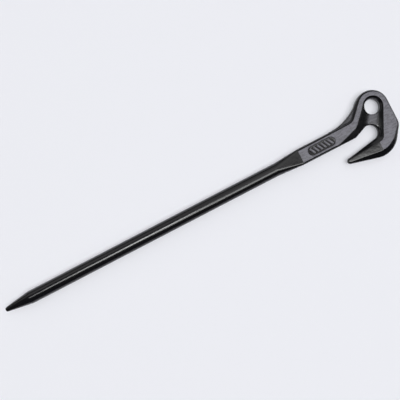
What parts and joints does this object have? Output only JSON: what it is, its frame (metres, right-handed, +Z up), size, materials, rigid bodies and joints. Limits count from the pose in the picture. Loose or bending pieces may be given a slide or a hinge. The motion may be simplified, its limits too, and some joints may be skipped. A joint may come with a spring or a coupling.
{
  "type": "tent stake",
  "caption": "Forged steel tent stake with a round pointed shank, flat neck, pull-out eye, striking face and guy-line hook.",
  "frame": {"origin": "under the middle of the stake's bounding box, on the surface that it lies on", "axes": "+X along the shank towards the striking face, +Y across it towards the eye, +Z up, square to the flat faces of the head"},
  "size_m": [0.28, 0.0424, 0.0085],
  "materials": {
    "black_coat": "satin"
  },
  "bodies": {
    "root": {"point": "black_coat", "shank": "black_coat", "neck_taper": "black_coat", "neck": "black_coat", "web": "black_coat", "eye_rim": "black_coat", "gusset": "black_coat", "striking_head": "black_coat", "hook": "black_coat"}
  },
  "joints": []
}
